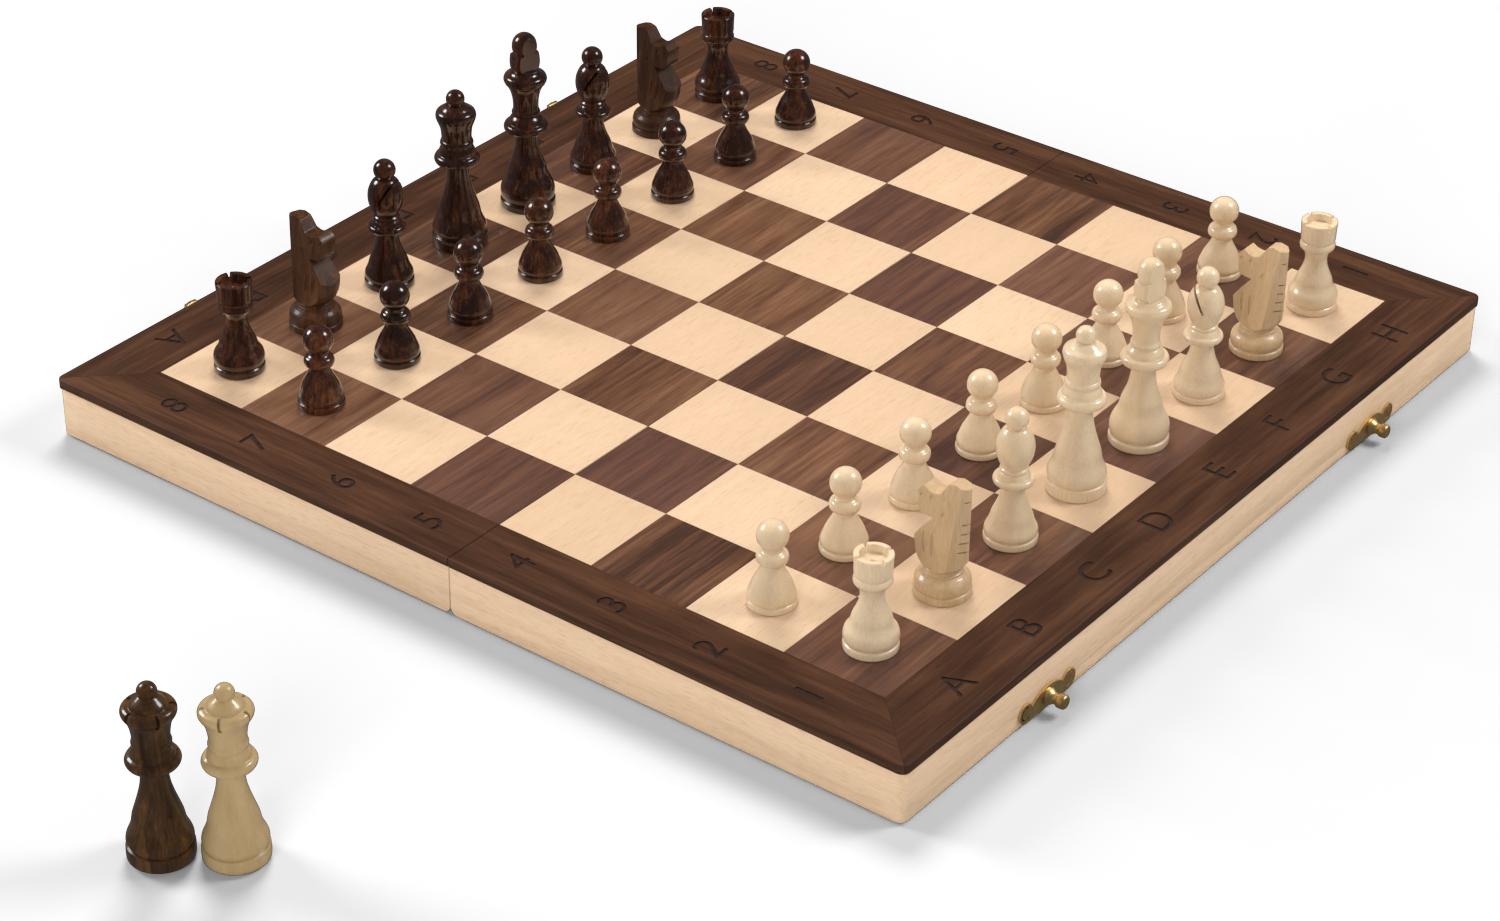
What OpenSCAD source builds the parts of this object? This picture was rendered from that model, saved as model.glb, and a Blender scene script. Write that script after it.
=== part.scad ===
// A folding chess board that closes into a storage box, set up with its men and two spare queens.
// +Z is up, +X runs from file a to file h and +Y from rank 1 to rank 8. The origin is the middle of
// the open board, on the plane that its rims stand on. The white half is at -Y, the black half at +Y.

/* [Board] */
// Side of the open board, over its border
board_side = 381; // [360:1:400]
// Side of one playing square
square = 40.9; // [38:0.1:42]
// Thickness of the border, and of the field with its veneer
panel_t = 3.5; // [3:0.1:5]
// Thickness of the veneer squares
veneer_t = 0.6; // [0.4:0.1:1]
// Height of the rails under the panel
rail_h = 19.6; // [18:0.1:24]
// Thickness of the rails
rail_t = 9; // [8.5:0.5:12]
// How far the rails stand in from the edge of the border
rail_inset = 0.5; // [0.2:0.1:1]
// Gap between the two halves at the fold
fold_gap = 0.4; // [0.3:0.1:0.8]
// Radius of the upright corners of the board
corner_r = 3; // [2:0.5:6]
// Radius of the lower edges along the fold, which clears the hinge knuckles
fold_edge_r = 3; // [2.8:0.1:4]
// Thickness of the felt lining
felt_t = 1; // [0.6:0.1:2]

/* [Hinges] */
// Distance of each hinge from the middle of the fold
hinge_x = 120; // [60:1:150]
// Length of a hinge
hinge_length = 32; // [25:1:40]
// Width of a hinge leaf, from the edge of the fold
leaf_width = 8; // [6.5:0.1:8.4]
// Thickness of a hinge leaf
leaf_t = 0.8; // [0.6:0.1:1]
// Outer radius of the hinge knuckles
knuckle_r = 1.1; // [1:0.05:1.2]
// Radius of the hinge pin
hinge_pin_r = 0.55; // [0.5:0.05:0.6]
// Gap left between the rims when the box is closed
closing_gap = 0.1; // [0.05:0.05:0.4]

/* [Latches] */
// Distance of each latch from the middle of the board
latch_x = 108; // [60:1:140]
// Thickness of the latch plates
plate_t = 0.8; // [0.6:0.1:1.2]
// Height of the latch knob above the rim
knob_z = 4.5; // [4:0.1:5]
// How far the knob stands out from its plate
knob_out = 7.4; // [6:0.1:9]
// Radius of the bead at the end of the knob
bead_r = 2.5; // [2:0.1:2.8]
// Height of the hasp's axis above the rim
hasp_z = 3.6; // [3:0.1:4.5]
// Length of the hasp from its axis
hasp_length = 16; // [14:0.5:17]
// Width of the hasp
hasp_width = 11; // [9:0.5:12]
// How far the hasp is tipped up from level while the board is open
hasp_tilt = 35; // [0:1:60]

/* [Men] */
// Height of the king; every other man keeps its proportion to it
king_height = 74; // [65:1:78]
// How far the spare queens stand from the edge of the board
spare_distance = 140; // [60:5:200]
// Steps between two knots of a turned outline
curve_steps = 2; // [2:1:6]

/* [Hidden] */
$fn = 64;
top_z = rail_h + panel_t;
edge = board_side / 2;
wall = edge - rail_inset;
inner = wall - rail_t;
field = 4 * square;
fold = fold_gap / 2;
axis_z = -closing_gap / 2;
mitre_gap = 0.1;
files = "abcdefgh";
back_rank = ["rook", "knight", "bishop", "queen", "king", "bishop", "knight", "rook"];
walnut = [0.30, 0.19, 0.14];
maple = [0.87, 0.73, 0.54];
pine = [0.90, 0.76, 0.58];
brass = [0.80, 0.62, 0.28];
felt = [0.10, 0.30, 0.18];
dark = [0.16, 0.07, 0.04];
light = [0.90, 0.84, 0.72];

function men_names(side, rank) = [
    for (f = [0:7]) str(side, "_", back_rank[f], "_", files[f], rank[0]),
    for (f = [0:7]) str(side, "_pawn_", files[f], rank[1])
];
WHITE_MEN = men_names("white", ["1", "2"]);
BLACK_MEN = men_names("black", ["8", "7"]);
BOARD = [
    "white_outer_rail", "white_fold_rail", "white_side_rails", "white_border", "white_field_panel",
    "white_dark_squares", "white_light_squares", "white_lining",
    "black_outer_rail", "black_fold_rail", "black_side_rails", "black_border", "black_field_panel",
    "black_dark_squares", "black_light_squares", "black_lining"
];
METAL = [
    "hinge_leaves_white", "hinge_leaves_black", "hinge_and_hasp_pins", "screws_white", "screws_black",
    "knob_plates", "latch_knobs", "hasp_plates", "hasp_left", "hasp_right"
];

// ---- The two halves of the box -----------------------------------------------------------------

module black_side() mirror([0, 1, 0]) children();

// A half's outline in plan, at -Y, with its two outer corners rounded
module half_plan(reach) {
    difference() {
        translate([-reach, -reach]) square([2 * reach, reach - fold]);
        for (side = [-1, 1])
            translate([side * reach, -reach])
                difference() {
                    square(2 * corner_r, center = true);
                    translate([-side * corner_r, corner_r]) circle(corner_r);
                }
    }
}

// The space that a half's rails fill: rounded corners, and a rounded lower edge along the fold
module rail_space() {
    intersection() {
        linear_extrude(rail_h) half_plan(wall);
        rotate([90, 0, 90])
            translate([0, 0, -edge])
                linear_extrude(board_side)
                    difference() {
                        translate([-edge, 0]) square([edge - fold, rail_h]);
                        difference() {
                            translate([-fold - fold_edge_r, 0]) square(fold_edge_r);
                            translate([-fold - fold_edge_r, fold_edge_r]) circle(fold_edge_r);
                        }
                    }
    }
}

// A rail is a strip with mitred ends, cut from that space
module rail(corners) {
    intersection() {
        linear_extrude(rail_h) polygon(corners);
        rail_space();
    }
}

module outer_rail() {
    difference() {
        rail([[-wall, -wall], [wall, -wall], [inner, -inner], [-inner, -inner]]);
        for (side = [-1, 1])
            translate([side * latch_x, -wall, 0]) plate_screws();
    }
}

module knob_rail() {
    difference() {
        outer_rail();
        for (side = [-1, 1])
            translate([side * latch_x, -wall, knob_z])
                rotate([-90, 0, 0]) cylinder(r = knob_tail_r, h = knob_tail);
    }
}

module fold_rail() {
    back = fold + rail_t;
    difference() {
        rail([[-wall, -fold], [-inner, -back], [inner, -back], [wall, -fold]]);
        for (side = [-1, 1])
            translate([side * hinge_x, 0, 0]) {
                translate([-hinge_length / 2, -leaf_width, -1])
                    cube([hinge_length, leaf_width, leaf_t + 1]);
                leaf_screws();
            }
    }
}

module side_rails() {
    for (side = [-1, 1])
        rail([[side * wall, -wall], [side * inner, -inner], [side * inner, -fold - rail_t],
              [side * wall, -fold]]);
}

// A strip of the walnut border, cut to the board's rounded outline
module border_strip(corners) {
    translate([0, 0, rail_h])
        linear_extrude(panel_t)
            intersection() {
                half_plan(edge);
                polygon(corners);
            }
}

// The long strip and the two side strips meet at mitres, a hair apart
module border() {
    out = edge - mitre_gap;
    border_strip([[-out, -edge], [out, -edge], [field - mitre_gap, -field], [-field + mitre_gap, -field]]);
    for (side = [-1, 1])
        border_strip([[side * edge, -edge], [side * field, -field], [side * field, 0], [side * edge, 0]]);
}

module field_panel() {
    translate([-field, -field, rail_h]) cube([2 * field, field - fold, panel_t - veneer_t]);
}

// The veneer squares of one colour on one half: a1 is a dark square
module squares(first_rank, colour) {
    for (f = [0:7], r = [first_rank:first_rank + 3])
        if ((f + r) % 2 == colour) {
            near = max((r - 4) * square, r == 4 ? fold : -field);
            far = min((r - 3) * square, r == 3 ? -fold : field);
            translate([(f - 4) * square, near, top_z - veneer_t])
                cube([square, far - near, veneer_t]);
        }
}

module lining() {
    back = fold + rail_t;
    translate([-inner, -inner, rail_h - felt_t]) cube([2 * inner, inner - back, felt_t]);
}

// ---- Screws ------------------------------------------------------------------------------------

screw_head_r = 1.6;
screw_head_h = 0.8;
screw_shank_r = 0.8;
screw_length = 6;
slot_width = 0.4;
slot_depth = 0.3;
leaf_screw_x = 10;
leaf_screw_y = 4.8;
ear_x = 12.9;
ear_z = 4.1;

// A countersunk screw pointing up, with its head's face at z = 0
module screw_body() {
    cylinder(r1 = screw_head_r, r2 = screw_shank_r, h = screw_head_h);
    cylinder(r = screw_shank_r, h = screw_length - 1);
    translate([0, 0, screw_length - 1]) cylinder(r1 = screw_shank_r, r2 = 0.2, h = 1);
}

module screw() {
    difference() {
        screw_body();
        cube([2 * screw_head_r + 1, slot_width, 2 * slot_depth], center = true);
    }
}

// The screws' places on one leaf of a hinge, and on one latch plate
module at_leaf_screws() {
    for (side = [-1, 1]) translate([side * leaf_screw_x, -leaf_screw_y, 0]) children();
}

module at_plate_screws() {
    for (side = [-1, 1])
        translate([side * ear_x, -plate_t, ear_z]) rotate([-90, 0, 0]) rotate(40) children();
}

module leaf_screws() at_leaf_screws() screw_body();
module plate_screws() at_plate_screws() screw_body();

module half_screws() {
    for (side = [-1, 1]) {
        translate([side * hinge_x, 0, 0]) at_leaf_screws() screw();
        translate([side * latch_x, -wall, 0]) at_plate_screws() screw();
    }
}

// ---- Hinges ------------------------------------------------------------------------------------

knuckles = 5;
knuckle_gap = 0.1;
knuckle_clearance = 0.25;
pin_running_gap = 0.03;

// The leaf at -Y carries the knuckles that are listed; the first is knuckle 0
module hinge_leaf(own, bore_r) {
    step = hinge_length / knuckles;
    start = -hinge_length / 2;
    root = knuckle_r + knuckle_clearance;
    difference() {
        union() {
            translate([start, -leaf_width, 0]) cube([hinge_length, leaf_width - root, leaf_t]);
            for (k = own)
                translate([start + k * step + knuckle_gap / 2, 0, 0]) {
                    translate([0, -root - 1, 0]) cube([step - knuckle_gap, root + 1, leaf_t]);
                    translate([0, 0, axis_z])
                        rotate([0, 90, 0]) cylinder(r = knuckle_r, h = step - knuckle_gap);
                }
        }
        translate([start - 1, 0, axis_z]) rotate([0, 90, 0]) cylinder(r = bore_r, h = hinge_length + 2);
        leaf_screws();
    }
}

module hinge_leaves(own, bore_r) {
    for (side = [-1, 1]) translate([side * hinge_x, 0, 0]) hinge_leaf(own, bore_r);
}

// The pins are fast in the black half's knuckles and turn in the white half's
module hinge_pins() {
    for (side = [-1, 1])
        translate([side * hinge_x - hinge_length / 2, 0, axis_z])
            rotate([0, 90, 0]) cylinder(r = hinge_pin_r, h = hinge_length);
}

// ---- Latches -----------------------------------------------------------------------------------

knob_tail_r = 1.2;
knob_tail = 3;
hasp_axis_y = 2.2;
hasp_knuckle_r = 1.4;
hasp_pin_r = 0.7;
hasp_half = 3.2;
ear_knuckle = 3;
hasp_t = 0.9;
hasp_hole_r = 3.1;
hasp_side_gap = 0.1;
hasp_root_t = 1.6;
hasp_lip_r = 0.8;
hasp_lip_length = 5;
plate_low = 0.3;

// An arched plate with a round ear at each end, standing in the X-Z plane with its back at y = 0
module latch_plate() {
    arch_r = 14;
    arch_top = 8.6;
    ear_r = 3.7;
    reach = ear_x + ear_r;
    rotate([90, 0, 0])
        linear_extrude(plate_t)
            intersection() {
                union() {
                    translate([0, arch_top - arch_r]) circle(arch_r);
                    for (side = [-1, 1]) translate([side * ear_x, ear_z]) circle(ear_r);
                }
                translate([-reach, plate_low]) square([2 * reach, arch_top]);
            }
}

module knob_plates() {
    for (side = [-1, 1])
        translate([side * latch_x, -wall, 0])
            difference() {
                latch_plate();
                plate_screws();
                translate([0, 0, knob_z]) rotate([90, 0, 0]) cylinder(r = knob_tail_r, h = plate_t);
            }
}

// Turned about its own axis: a tail in the rail, a flange on the plate, a waist and a bead
module latch_knob() {
    bead_z = knob_out - bead_r * 0.8;
    flange_r = 3;
    flange_h = 0.5;
    skirt_r = 2.6;
    waist_r = 1.4;
    rotate([90, 0, 0]) {
        translate([0, 0, -knob_tail]) cylinder(r = knob_tail_r, h = knob_tail + plate_t);
        translate([0, 0, plate_t]) {
            cylinder(r = flange_r, h = flange_h);
            translate([0, 0, flange_h]) cylinder(r1 = skirt_r, r2 = waist_r, h = 2.2);
            cylinder(r = waist_r, h = bead_z);
            intersection() {
                translate([0, 0, bead_z]) sphere(bead_r);
                cylinder(r = bead_r + 1, h = knob_out);
            }
        }
    }
}

module latch_knobs() {
    for (side = [-1, 1]) translate([side * latch_x, -wall, knob_z]) latch_knob();
}

module hasp_plate() {
    reach = hasp_half + ear_knuckle;
    ear = ear_knuckle - 2 * hasp_side_gap;
    difference() {
        union() {
            latch_plate();
            for (side = [-1, 1])
                translate([side * (hasp_half + ear_knuckle / 2), 0, hasp_z]) {
                    translate([0, -hasp_axis_y / 2, 0])
                        cube([ear, hasp_axis_y, hasp_root_t], center = true);
                    translate([0, -hasp_axis_y, 0])
                        rotate([0, 90, 0]) cylinder(r = hasp_knuckle_r, h = ear, center = true);
                }
        }
        plate_screws();
        translate([-reach, -hasp_axis_y, hasp_z])
            rotate([0, 90, 0]) cylinder(r = hasp_pin_r, h = 2 * reach);
    }
}

module hasp_plates() {
    for (side = [-1, 1]) translate([side * latch_x, -wall, 0]) hasp_plate();
}

module hasp_pins() {
    reach = hasp_half + ear_knuckle;
    for (side = [-1, 1])
        translate([side * latch_x - reach, -wall - hasp_axis_y, hasp_z])
            rotate([0, 90, 0]) cylinder(r = hasp_pin_r, h = 2 * reach);
}

// The flap points along -Y from its axis before it is tipped up; its hole fits over the knob
module hasp() {
    hole_at = hasp_z + knob_z + closing_gap;
    neck = 2.4;
    neck_x = hasp_half - hasp_side_gap;
    end_r = hasp_width / 2;
    difference() {
        union() {
            rotate([0, 90, 0]) cylinder(r = hasp_knuckle_r, h = 2 * neck_x, center = true);
            translate([0, 0, -hasp_t / 2])
                linear_extrude(hasp_t) {
                    translate([-neck_x, -neck - 0.5]) square([2 * neck_x, neck + 0.5]);
                    translate([-end_r, -hasp_length + end_r])
                        square([hasp_width, hasp_length - end_r - neck]);
                    translate([0, -hasp_length + end_r]) circle(end_r);
                }
            translate([0, -hasp_length + 1, 0.3])
                rotate([0, 90, 0]) cylinder(r = hasp_lip_r, h = hasp_lip_length, center = true);
        }
        rotate([0, 90, 0])
            cylinder(r = hasp_pin_r + pin_running_gap, h = 2 * hasp_half, center = true);
        translate([0, -hole_at, -hasp_t]) cylinder(r = hasp_hole_r, h = 2 * hasp_t);
    }
}

module placed_hasp(side) {
    translate([side * latch_x, -wall - hasp_axis_y, hasp_z]) rotate([-hasp_tilt, 0, 0]) hasp();
}

// ---- Turned men --------------------------------------------------------------------------------
// An outline is a list of strokes that meet at corners. Each stroke is a smooth curve through its
// knots, which are [radius, height] in millimetres for a king 74 mm high.

drawn_king_height = 74;

function smooth(p) = [
    for (i = [0:len(p) - 2], k = [0:curve_steps - 1])
        let (
            t = k / curve_steps,
            a = p[max(i - 1, 0)],
            b = p[i],
            c = p[i + 1],
            d = p[min(i + 2, len(p) - 1)],
            q = (2 * b + (c - a) * t + (2 * a - 5 * b + 4 * c - d) * t * t
                + (3 * b - a - 3 * c + d) * t * t * t) / 2
        )
        [max(q[0], 0), q[1]],
    p[len(p) - 1]
];

// Knots along a ball, from the angle where it leaves the neck to its pole
function ball(z, r, from) = [
    for (k = [0:5]) let (a = from + (90 - from) * k / 5) [k == 5 ? 0 : r * cos(a), z + r * sin(a)]
];

module turned(strokes) {
    rotate_extrude() polygon(concat([[0, 0]], [for (s = strokes) each smooth(s)]));
}

king_outline = [
    [[10.6, 0], [11, 0.6], [11, 2.6], [10.6, 3.2]],
    [[10.2, 3.3], [10.8, 5.0], [10.8, 7.0], [10.4, 9.0], [9.4, 11.3], [8.3, 13.4], [7.7, 15.6], [7.3, 17.7],
     [6.3, 20.3], [5.4, 22.9], [4.85, 25.6], [4.5, 28.6], [4.4, 32]],
    [[6.8, 32.2], [8.3, 33.0], [8.75, 34.4], [8.2, 35.7], [6.9, 36.2]],
    [[6.8, 36.4], [6.5, 37.5], [5.8, 38.6], [5.2, 39.2]],
    [[5.1, 39.5], [5.5, 40.5], [5.1, 41.5]],
    [[4.9, 41.8], [4.9, 44.5], [5.2, 47.2], [6.0, 50.2], [7.2, 52.6]],
    [[7.8, 53.2], [8.4, 54.8], [7.9, 56.4], [6.4, 57.3]],
    [[6.1, 57.5], [5.4, 58.2], [4.6, 58.5]],
    [[4.7, 58.9], [5.6, 60.2], [5.8, 63], [5.5, 65.6]],
    [[4.1, 65.9], [4.1, 66.7]],
    [[4.6, 67.0], [4.8, 69.0], [4.2, 71.6], [2.4, 73.5], [0, 74]]
];
king_flat_y = 3.3;
king_flat_z = 58.6;

queen_body = [
    [[10.4, 0], [10.9, 0.7], [10.9, 4.3], [10.5, 4.9]],
    [[10.1, 5.0], [10.6, 6.3], [10.6, 7.6], [10.2, 9.0], [9.4, 10.8], [8.75, 12.6], [8.4, 14.4], [8.0, 16.4],
     [7.3, 18.6], [6.5, 21.1], [5.6, 24.1], [4.8, 27.5], [4.4, 31], [4.3, 34.4]],
    [[6.6, 34.7], [8.2, 35.6], [8.8, 37.1], [8.2, 38.5], [7.2, 39.1]],
    [[7.0, 39.4], [6.8, 40.6], [6.3, 41.7], [6.0, 42.4]],
    [[6.0, 42.6], [6.35, 43.7], [6.0, 44.8]]
];
// The queens on the board have a plain rounded crown
queen_crown = [
    [[5.7, 45.0], [5.75, 47.5], [6.1, 50.2], [6.9, 52.4], [7.5, 54.0], [7.7, 55.4], [7.3, 56.8], [6.2, 57.7]],
    [[5.6, 58.0], [4.6, 58.9], [3.5, 59.6]],
    ball(62.0, 3.5, -42)
];
// The spare queens have a wider crown with slots cut in its lip
spare_crown = [
    [[5.95, 45.0], [6.05, 47.2], [6.6, 50.4], [7.5, 52.8], [8.4, 54.2], [8.75, 55.5], [8.3, 56.7], [7.4, 57.3]],
    [[6.2, 57.3], [5.5, 58.4], [4.4, 59.5], [3.0, 60.7]],
    ball(62.3, 3.2, -28)
];
queen_slots = 5;
queen_slot_width = 1.1;
queen_slot_low = 52.4;
queen_slot_in = 6.6;
queen_slot_reach = 10;

bishop_outline = [
    [[9.2, 0], [9.6, 0.5], [9.6, 2.2], [9.3, 2.7]],
    [[8.9, 2.8], [9.4, 4.0], [9.2, 5.4], [8.6, 6.7], [8.0, 8.1], [7.5, 9.8], [7.0, 11.4], [6.3, 13.0],
     [5.5, 14.9], [4.7, 17.4], [4.2, 20], [4.1, 22.5]],
    [[5.6, 22.7], [6.9, 23.5], [7.3, 24.6], [6.9, 25.6], [5.8, 26.1]],
    [[5.8, 26.3], [5.3, 27.3], [4.8, 28.0]],
    [[4.8, 28.2], [5.1, 28.8], [4.7, 29.4]],
    [[4.4, 29.6], [5.3, 31.4], [6.35, 34.3], [6.75, 37.4], [6.3, 40.6], [5.0, 43.4], [3.7, 44.8]],
    ball(48.35, 4.15, -52)
];
bishop_slit_width = 0.9;
bishop_slit_tilt = 26;
bishop_slit_at = [-4.45, 0, 43.9];
bishop_slit_deep = 8.6;

rook_outline = [
    [[9.1, 0], [9.5, 0.5], [9.5, 2.3], [9.2, 2.8]],
    [[8.9, 3.0], [9.5, 4.4], [9.5, 5.9], [9.0, 7.6], [7.9, 9.3], [7.2, 10.8], [6.9, 12.2], [6.3, 13.8],
     [5.3, 16.0], [4.5, 18.4], [4.2, 20.6], [4.4, 22.8], [5.1, 24.6]],
    [[5.7, 25.0], [6.5, 25.9], [6.7, 27.1], [6.3, 28.3]],
    [[6.1, 28.5], [6.5, 29.6], [6.6, 33], [6.8, 36.5]],
    [[6.6, 36.8], [4.9, 36.8]],
    [[4.6, 34.2], [0.9, 33.9]],
    [[0.8, 34.2], [0, 34.5]]
];
rook_notches = 4;
rook_notch_width = 1.5;
rook_notch_low = 34.9;
rook_notch_first = 64;
rook_notch_in = 3;

pawn_outline = [
    [[8.3, 0], [8.7, 0.5], [8.7, 2.0], [8.4, 2.5]],
    [[8.1, 2.6], [8.5, 3.8], [8.3, 5.2], [7.6, 7.0], [6.9, 8.8], [6.0, 10.6], [4.9, 12.6], [4.0, 14.6],
     [3.6, 16.2]],
    [[4.5, 16.5], [5.4, 17.4], [5.6, 18.9], [5.1, 20.2], [4.1, 20.9]],
    [[3.6, 21.3], [3.5, 22.4]],
    ball(27.0, 5.6, -48)
];

knight_base_outline = [
    [[9.7, 0], [10.1, 0.5], [10.1, 2.3], [9.8, 2.8]],
    [[9.4, 2.9], [9.85, 4.6], [9.4, 6.8], [7.8, 8.5]],
    [[6.9, 8.8], [6.8, 9.6]],
    [[6.3, 9.8], [6.2, 10.8], [0, 11.2]]
];
// The bowl that the head was sawn from, turned about the man's axis
knight_blank_outline = [
    [[5.6, 10.4], [6.6, 11.2], [8.2, 13.2], [9.4, 16.0], [9.9, 19.5], [10.2, 23], [10.2, 30], [10.2, 46]]
];
knight_blank_low = 10.4;
// The head from the side, as [forwards, up]; only the bowl bounds it below
knight_head_outline = [
    [-11, 10], [11, 10], [11, 19], [9.2, 21.5], [5.6, 26.6], [2.2, 30.6],
    [7.4, 31.2], [8.2, 33], [8.6, 36], [9.2, 38.6], [6.8, 41.2], [5, 39.9], [2.4, 39.4], [0, 40.2],
    [-2.4, 44.6], [-5, 45.4], [-9.8, 44.2], [-11, 44]
];
// The same head from the front, as [across, up], and from above
knight_head_front = [[-6.4, 10], [6.4, 10], [2.7, 46], [-2.7, 46]];
knight_head_plan = [[-7, -4.2], [-0.7, -9.6], [0.7, -9.6], [7, -4.2], [7, 11], [-7, 11]];
knight_head_reach = 11;
knight_head_high = 46;
mane_cuts = [39.4, 30.6, 27, 23.4, 19.8];
mane_cut_h = 0.5;
mane_cut_back = -7.9;

king_flat_size = 20;

module king() {
    difference() {
        turned(king_outline);
        for (side = [-1, 1])
            translate([-king_flat_size / 2, side > 0 ? king_flat_y : -king_flat_y - king_flat_size, king_flat_z])
                cube(king_flat_size);
    }
}

module queen() turned(concat(queen_body, queen_crown));

module slotted_queen() {
    difference() {
        turned(concat(queen_body, spare_crown));
        for (k = [0:queen_slots - 1])
            rotate(360 / queen_slots * k)
                translate([queen_slot_in, -queen_slot_width / 2, queen_slot_low])
                    cube([queen_slot_reach, queen_slot_width, queen_slot_reach]);
    }
}

module bishop() {
    across = 2 * bishop_slit_deep;
    difference() {
        turned(bishop_outline);
        translate(bishop_slit_at)
            rotate([0, -bishop_slit_tilt, 0])
                cube([bishop_slit_width, across, 2 * bishop_slit_deep], center = true);
    }
}

module rook() {
    reach = drawn_king_height / 10;
    difference() {
        turned(rook_outline);
        for (k = [0:rook_notches - 1])
            rotate(rook_notch_first + 360 / rook_notches * k)
                translate([rook_notch_in, -rook_notch_width / 2, rook_notch_low])
                    cube([reach, rook_notch_width, reach]);
    }
}

module pawn() turned(pawn_outline);

// The space between the head's outline from the side, its faces from the front, and its plan
module knight_head() {
    intersection() {
        translate([-knight_head_reach, 0, 0])
            rotate([90, 0, 90]) linear_extrude(2 * knight_head_reach) polygon(knight_head_outline);
        translate([0, knight_head_reach, 0])
            rotate([90, 0, 0]) linear_extrude(2 * knight_head_reach) polygon(knight_head_front);
        linear_extrude(knight_head_high) polygon(knight_head_plan);
        rotate_extrude()
            polygon(concat([[0, knight_blank_low]], smooth(knight_blank_outline[0]), [[0, knight_head_high]]));
    }
}

// The knight looks along +Y
module knight() {
    across = 2 * knight_head_reach;
    difference() {
        union() {
            turned(knight_base_outline);
            knight_head();
        }
        for (z = mane_cuts)
            translate([-knight_head_reach, mane_cut_back - across, z]) cube([across, across, mane_cut_h]);
    }
}

module man(kind) {
    scale(king_height / drawn_king_height) {
        if (kind == "king") king();
        if (kind == "queen") queen();
        if (kind == "slotted_queen") slotted_queen();
        if (kind == "bishop") bishop();
        if (kind == "rook") rook();
        if (kind == "knight") knight();
        if (kind == "pawn") pawn();
    }
}

module on_square(file, rank) {
    translate([(file - 3.5) * square, (rank - 3.5) * square, top_z]) children();
}

// How each man of the back rank is turned on its square, from file a to file h
white_turns = [0, 0, -140, 0, -12, -61, 0, 0];
black_turns = [177, 180, 101, 180, 168, 95, 180, 177];

module white_man(index) {
    color(light)
        if (index < 8) on_square(index, 0) rotate(white_turns[index]) man(back_rank[index]);
        else on_square(index - 8, 1) man("pawn");
}

module black_man(index) {
    color(dark)
        if (index < 8) on_square(index, 7) rotate(black_turns[index]) man(back_rank[index]);
        else on_square(index - 8, 6) rotate(180) man("pawn");
}

// The spare queens stand on the table, beside the white half's file-a edge
spare_y = -35;
spare_step = [-14, 19];
spare_turns = [-150, 173];

module spare_queen(steps) {
    translate([-edge - spare_distance, spare_y, 0])
        translate(steps * spare_step) rotate(spare_turns[steps]) man("slotted_queen");
}

// ---- What each node draws ----------------------------------------------------------------------

color(pine) knob_rail();  // white_outer_rail
color(pine) fold_rail();  // white_fold_rail
color(pine) side_rails();  // white_side_rails
color(walnut) border();  // white_border
color(pine) field_panel();  // white_field_panel
color(walnut) squares(0, 0);  // white_dark_squares
color(maple) squares(0, 1);  // white_light_squares
color(felt) lining();  // white_lining
color(pine) black_side() outer_rail();  // black_outer_rail
color(pine) black_side() fold_rail();  // black_fold_rail
color(pine) black_side() side_rails();  // black_side_rails
color(walnut) black_side() border();  // black_border
color(pine) black_side() field_panel();  // black_field_panel
color(walnut) squares(4, 0);  // black_dark_squares
color(maple) squares(4, 1);  // black_light_squares
color(felt) black_side() lining();  // black_lining

color(brass) hinge_leaves([0, 2, 4], hinge_pin_r + pin_running_gap);  // hinge_leaves_white
color(brass) black_side() hinge_leaves([1, 3], hinge_pin_r);  // hinge_leaves_black
color(brass) black_side() { hinge_pins(); hasp_pins(); }  // hinge_and_hasp_pins
color(brass) half_screws();  // screws_white
color(brass) black_side() half_screws();  // screws_black
color(brass) knob_plates();
color(brass) latch_knobs();
color(brass) black_side() hasp_plates();
color(brass) black_side() placed_hasp(-1);  // hasp_left
color(brass) black_side() placed_hasp(1);  // hasp_right

for (i = [0:15]) {
    white_man(i);
    black_man(i);
}
color(light) spare_queen(0);  // spare_queen_white
color(dark) spare_queen(1);  // spare_queen_black
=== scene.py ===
"""The looks of a folding chess board set up with its men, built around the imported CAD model.

Everything is in metres in the model's own frame: +X runs from file a to file h and +Y from white to
black. Outlines are written in millimetres, as a turner would note them, and scaled by MM.
"""

import math

import bmesh
import bpy
from mathutils import Matrix, Vector


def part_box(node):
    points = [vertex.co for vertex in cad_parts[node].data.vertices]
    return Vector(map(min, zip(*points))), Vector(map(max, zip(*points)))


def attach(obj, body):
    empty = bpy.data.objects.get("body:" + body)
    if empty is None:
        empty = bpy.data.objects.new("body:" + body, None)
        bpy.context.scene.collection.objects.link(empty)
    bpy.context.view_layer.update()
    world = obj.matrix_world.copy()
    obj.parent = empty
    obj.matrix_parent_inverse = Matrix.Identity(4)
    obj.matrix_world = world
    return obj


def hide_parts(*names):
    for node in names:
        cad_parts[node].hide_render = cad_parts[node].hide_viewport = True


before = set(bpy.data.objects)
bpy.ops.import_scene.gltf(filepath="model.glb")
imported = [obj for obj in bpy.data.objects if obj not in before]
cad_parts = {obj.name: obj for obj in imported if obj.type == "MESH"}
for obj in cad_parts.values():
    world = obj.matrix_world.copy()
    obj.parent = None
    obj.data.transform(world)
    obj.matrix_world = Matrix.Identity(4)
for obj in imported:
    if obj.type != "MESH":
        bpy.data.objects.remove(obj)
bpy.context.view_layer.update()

MM = 0.001

# ---- Places and sizes, all from the frame -------------------------------------------------------

panel_low, panel_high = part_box("white_field_panel")
border_low, border_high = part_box("white_border")
TOP = border_high.z
FIELD = panel_high.x
SQUARE = FIELD / 4
EDGE = border_high.x
FOLD = -border_high.y
PANEL_LOW = border_low.z
VENEER = TOP - panel_high.z

FILES = "abcdefgh"
BACK_RANK = ("rook", "knight", "bishop", "queen", "king", "bishop", "knight", "rook")


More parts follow.
